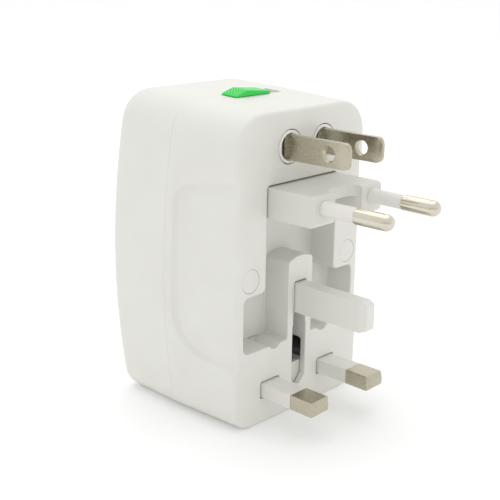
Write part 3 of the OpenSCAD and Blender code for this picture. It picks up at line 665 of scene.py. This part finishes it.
def build_rotor(s, node):
    """Rotor: a cup that shows in the pin face, with a slot for the blade and a flange behind."""
    x = US_MID + s * US_X
    profile = ([(0, 1.8)] + arc(2.9, 1.4, 0.4, 90, 0, 6) + [(3.3, 0.35)] + arc(3.65, 0.35, 0.35, 180, 270, 5)
               + arc(3.85, 0.3, 0.3, 270, 360, 5) + [(4.15, 9.1), (4.7, 9.1), (4.7, 10.5), (0, 10.5)])
    obj = new_object(node + "_skin", lathe(profile, x, US_Z, 96))
    cut(obj, block((x - 1.2, 1, US_Z - 3.195), (x + 1.2, 5.5, US_Z + 3.195)))
    cut(obj, block((x - 0.77, 5, US_Z - 3.195), (x + 0.77, 11, US_Z + 3.195)))
    clean(obj)
    smooth(obj, 30)
    # The rotor takes the brighter white, which is a painted rim light.
    return finish_piece(obj, node, "us_" + node.rsplit("_", 1)[1], ROTOR_WHITE_LIT)


def build_blade(s, node):
    """Blade: round corners and a wedge tip, with a countersunk hole near the end."""
    half, tip, tail, thick, hole_y = 3.175, -18.6, 12.0, 0.75, -12.4
    x = US_MID + s * US_X
    low, high = US_Z - half, US_Z + half
    side = rounded([(tail, low), (tail, high), (tip, high), (tip, low)], [0, 0, 1.9, 1.9], 10)
    obj = new_object(node + "_skin", prism(side, "x", x - thick, x + thick))
    wedge = [(x - thick - 1, tail + 1), (x - thick - 1, tip + 1.4), (x - thick, tip + 1.4),
             (x - thick / 2, tip), (x + thick / 2, tip), (x + thick, tip + 1.4),
             (x + thick + 1, tip + 1.4), (x + thick + 1, tail + 1)]
    cut(obj, prism(wedge, "z", low - 1, high + 1), "INTERSECT")
    cut(obj, lathe_x([(2.1, x - 1), (1.98, x - thick), (1.74, x - thick + 0.24), (1.74, x + thick - 0.24),
                      (1.98, x + thick), (2.1, x + 1)], hole_y, US_Z, 56))
    clean(obj)
    soften(obj, 0.1, 40, 2, where=lambda p: math.hypot(p.y - hole_y, p.z - US_Z) > 2.3)
    smooth(obj, 30)
    return finish_piece(obj, node, "us_" + node.rsplit("_", 1)[1], NICKEL_SHADED)


for s, side_name in ((-1, "left"), (1, "right")):
    build_rotor(s, "us_rotor_" + side_name)
    build_blade(s, "us_blade_" + side_name)


# ---------------------------------------------------------------- rectangular pins and earth pin

def build_rect_pin(s, node):
    """Rectangular pin: core in the sleeve, full-size end with a chamfered nose."""
    half, flat, tip, root = 3.175, 2.0, -17.7, -9.75
    core = 0.6
    stations = [(11.9, core), (root, core), (root - 0.001, 0.08), (root - 0.12, 0.0), (tip + 1.25, 0.0),
                (tip + 1.1, 0.05), (tip + 0.1, 0.95), (tip, 1.1)]
    rings = []
    for y, inset in stations:
        corner = 0.3 if inset < 0.5 else 0.45
        pts = box_outline(s * UK_X - half + inset, UK_Z - flat + inset, s * UK_X + half - inset,
                          UK_Z + flat - inset, corner, 4)
        rings.append([(x, y, z) for x, z in pts])
    obj = new_object(node + "_skin", ring_mesh(rings))
    smooth(obj, 26)
    return finish_piece(obj, node, "uk_slide_block", NICKEL_SHADED)


def build_rect_sleeve(s, node):
    """Sleeve round the root of a rectangular pin."""
    end, root = -9.7, 4.9
    rings = []
    for y, inset in ((root, 0.1), (root - 0.1, 0), (end + 0.1, 0), (end + 0.02, 0.05), (end, 0.12)):
        pts = box_outline(s * UK_X - 3.175 + inset, UK_Z - 2 + inset, s * UK_X + 3.175 - inset,
                          UK_Z + 2 - inset, 0.4, 5)
        rings.append([(x, y, z) for x, z in pts])
    obj = new_object(node + "_skin", ring_mesh(rings))
    cut(obj, block((s * UK_X - 2.595, end - 1, UK_Z - 1.42), (s * UK_X + 2.595, root + 1, UK_Z + 1.42)))
    clean(obj)
    smooth(obj, 30)
    return finish_piece(obj, node, "uk_slide_block", SLEEVE)


def build_earth_pin():
    """Folding earth pin: a plain bar with a tapered end, round its hinge."""
    half, tip = 2.0, -22.7
    y0, z0 = 2.2, 33.2
    side = ([(tip + 1.8, EARTH_TOP), (tip, EARTH_TOP - 0.7), (tip, EARTH_LOW + 0.8), (tip + 2, EARTH_LOW),
             (1.2, EARTH_LOW), (y0 + 2, EARTH_LOW + 1.6), (y0 + 2.2, z0)] + arc(y0, z0, 2.2, 0, 90, 10)[1:])
    obj = new_object("earth_pin_skin", prism(side, "x", -half, half))
    taper = [(-half - 1, 6), (-half - 1, tip + 2), (-half, tip + 2), (-half + 0.5, tip), (half - 0.5, tip),
             (half, tip + 2), (half + 1, tip + 2), (half + 1, 6)]
    cut(obj, prism(taper, "z", 25, 38), "INTERSECT")
    cut(obj, lathe_x([(0.85, -3), (0.85, 3)], y0, z0))
    clean(obj)
    soften(obj, 0.3, 8, 3, where=lambda p: p.y < 4.5 and math.hypot(p.y - y0, p.z - z0) > 1)
    smooth(obj, 30)
    return finish_piece(obj, "earth_pin", "earth_fold_pin", SLEEVE)


for s, side_name in ((-1, "left"), (1, "right")):
    build_rect_pin(s, "uk_pin_" + side_name)
    build_rect_sleeve(s, "uk_sleeve_" + side_name)
build_earth_pin()


# ---------------------------------------------------------------- slider and screw covers

def build_slider():
    """Green slider: a grooved thumb pad on a stem, and a flange inside the shell."""
    base, front, back, left, right, peak = 81.54, 17.3, 22.6, -6.8, 6.1, -2.8
    rise, foot, tail, tilt = 1.6, 0.45, 0.75, math.atan((SEAM_H - FACE_H) / SEAM)
    side = [(left, 0), (right, 0), (right, tail - 0.2), (right - 0.3, tail), (peak, rise), (left, foot)]
    obj = new_object("pad", prism(side, "y", 0, back - front))
    slope = math.atan((rise - foot) / (peak - left))
    clean(obj)
    soften(obj, 0.28, 30, 3, where=lambda p: abs(p.x - left) < 0.1 or abs(p.x - right) < 0.4
           or abs(p.y) < 0.05 or abs(p.y - back + front) < 0.05)
    for i in range(-5, 4):
        tool = block((-1, 0, 0), (9, 0.36, 1.2))
        bmesh.ops.transform(tool, matrix=Matrix.Translation((left, 0, foot))
                            @ Matrix.Rotation(-slope, 4, "Y") @ Matrix.Translation((1.1 * i, 0, -0.2))
                            @ Matrix.Rotation(math.radians(40), 4, "Z"), verts=tool.verts)
        cut(obj, tool)
    clean(obj)
    pad = as_tool(obj)
    bmesh.ops.transform(pad, matrix=Matrix.Translation((0, front, base)) @ Matrix.Rotation(tilt, 4, "X"),
                        verts=pad.verts)
    obj = new_object("lock_slider_skin", pad)
    cut(obj, block((-4.9, 18.8, 78.6), (4.8, 19.8, base + foot / 2)), "UNION")
    cut(obj, block((left, 17, 77.9), (right + 0.6, 21.6, 79)), "UNION")
    cut(obj, block((1, 8.5, 77.6), (4.5, 18.5, 78.2)), "UNION")
    clean(obj)
    smooth(obj, 30)
    return finish_piece(obj, "lock_slider", "lock", GREEN)


def build_cover(s, node):
    """Round cover pressed in over a screw."""
    profile = [(0, 0.02), (2.85, 0.02), (2.97, 0.05), (3.03, 0.11), (3.05, 0.2), (3.05, 1.4), (0, 1.4)]
    obj = new_object(node + "_skin", lathe(profile, s * SCREW[0], SCREW[1], 72))
    smooth(obj, 30)
    return finish_piece(obj, node, "housing", WHITE)


build_slider()
build_cover(-1, "screw_cap_left")
build_cover(1, "screw_cap_right")


# ---------------------------------------------------------------- remaining CAD nodes

def dress(node, material):
    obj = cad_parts[node]
    obj.data.materials.clear()
    obj.data.materials.append(material)


PLAIN = {"contact_block": INNER, "us_carriage": INNER, "us_retainer": INNER, "uk_carriage": INNER,
         "earth_latch": WHITE_CARRIER, "shutter": INNER, "line_contact": BRASS, "neutral_contact": BRASS,
         "earth_contact": BRASS, "line_busbar": BRASS, "neutral_busbar": BRASS, "fuse_body": GLASS,
         "fuse_caps": NICKEL_SHADED, "shutter_spring": STEEL, "eu_hinge_pin": STEEL, "earth_hinge_pin": STEEL,
         "case_screws": STEEL}
for node, material in PLAIN.items():
    dress(node, material)


# ---------------------------------------------------------------- floor, light, camera

def floor():
    bm = bmesh.new()
    bmesh.ops.create_grid(bm, x_segments=2, y_segments=2, size=3)
    mesh = bpy.data.meshes.new("floor")
    bm.to_mesh(mesh)
    bm.free()
    obj = bpy.data.objects.new("floor", mesh)
    bpy.context.scene.collection.objects.link(obj)
    mat, nt, bsdf = shader("floor_paper", (0.9, 0.9, 0.9), 0.9, Emission_Color=(1, 1, 1, 1),
                           Emission_Strength=0.11)
    nt.links.new(blend_colors(nt, spread(nt, noise(nt, 12, 3), 0, 1), (0.9, 0.9, 0.9), (0.885, 0.885, 0.885)),
                 bsdf.inputs["Base Color"])
    obj.data.materials.append(mat)


def area_light(name, place, aim, size, power):
    data = bpy.data.lights.new(name, "AREA")
    data.shape, data.size, data.energy = "DISK", size, power
    obj = bpy.data.objects.new(name, data)
    obj.location = place
    obj.rotation_mode = "QUATERNION"
    obj.rotation_quaternion = (Vector(aim) - Vector(place)).to_track_quat("-Z", "Y")
    bpy.context.scene.collection.objects.link(obj)


def camera():
    """The camera: place, turn, rise and roll, and the lens for a 36 mm sensor."""
    place = Vector((-0.18607, -0.15748 + FACE_Y * MM, 0.11727))
    turn, rise, roll = (math.radians(v) for v in (-46.65, 16.82, 0.74))
    back = Vector((math.sin(turn) * math.cos(rise), -math.cos(turn) * math.cos(rise), math.sin(rise)))
    right = (-back).cross(Vector((0, 0, 1))).normalized()
    up = right.cross(-back)
    right, up = (right * math.cos(roll) + up * math.sin(roll),
                 up * math.cos(roll) - right * math.sin(roll))
    data = bpy.data.cameras.new("camera")
    data.sensor_width, data.lens = 36, 71.5
    data.clip_start, data.clip_end = 0.01, 20
    obj = bpy.data.objects.new("camera", data)
    turned = Matrix((right, up, back)).transposed().to_4x4()
    obj.matrix_world = Matrix.Translation(place) @ turned
    bpy.context.scene.collection.objects.link(obj)
    bpy.context.scene.camera = obj


def studio_world(high, side, near):
    """A white surround, brightest overhead and dimmer round the camera, so that metal shows contrast."""
    world = bpy.data.worlds.new("studio")
    world.use_nodes = True
    nt = world.node_tree
    coord = nt.nodes.new("ShaderNodeTexCoord")
    parts = nt.nodes.new("ShaderNodeSeparateXYZ")
    nt.links.new(coord.outputs["Generated"], parts.inputs[0])
    toward = nt.nodes.new("ShaderNodeVectorMath")
    toward.operation = "DOT_PRODUCT"
    toward.inputs[1].default_value = (-0.86, -0.51, 0.0)
    nt.links.new(coord.outputs["Generated"], toward.inputs[0])
    level = spread(nt, toward.outputs["Value"], side, near, -0.1, 0.9)
    lift = spread(nt, parts.outputs["Z"], 0.0, 1.0, 0.15, 0.75)
    mix = nt.nodes.new("ShaderNodeMix")
    nt.links.new(lift, mix.inputs["Factor"])
    nt.links.new(level, mix.inputs["A"])
    mix.inputs["B"].default_value = high
    nt.links.new(mix.outputs["Result"], nt.nodes["Background"].inputs["Strength"])
    nt.nodes["Background"].inputs["Color"].default_value = (1, 1, 1, 1)
    bpy.context.scene.world = world


floor()
area_light("key", (0.15, 0.22, 0.85), (0, 0, 0.03), 1.1, 2.0)
studio_world(0.97, 1.13, 0.76)
bpy.context.scene.view_settings.view_transform = "Standard"
camera()
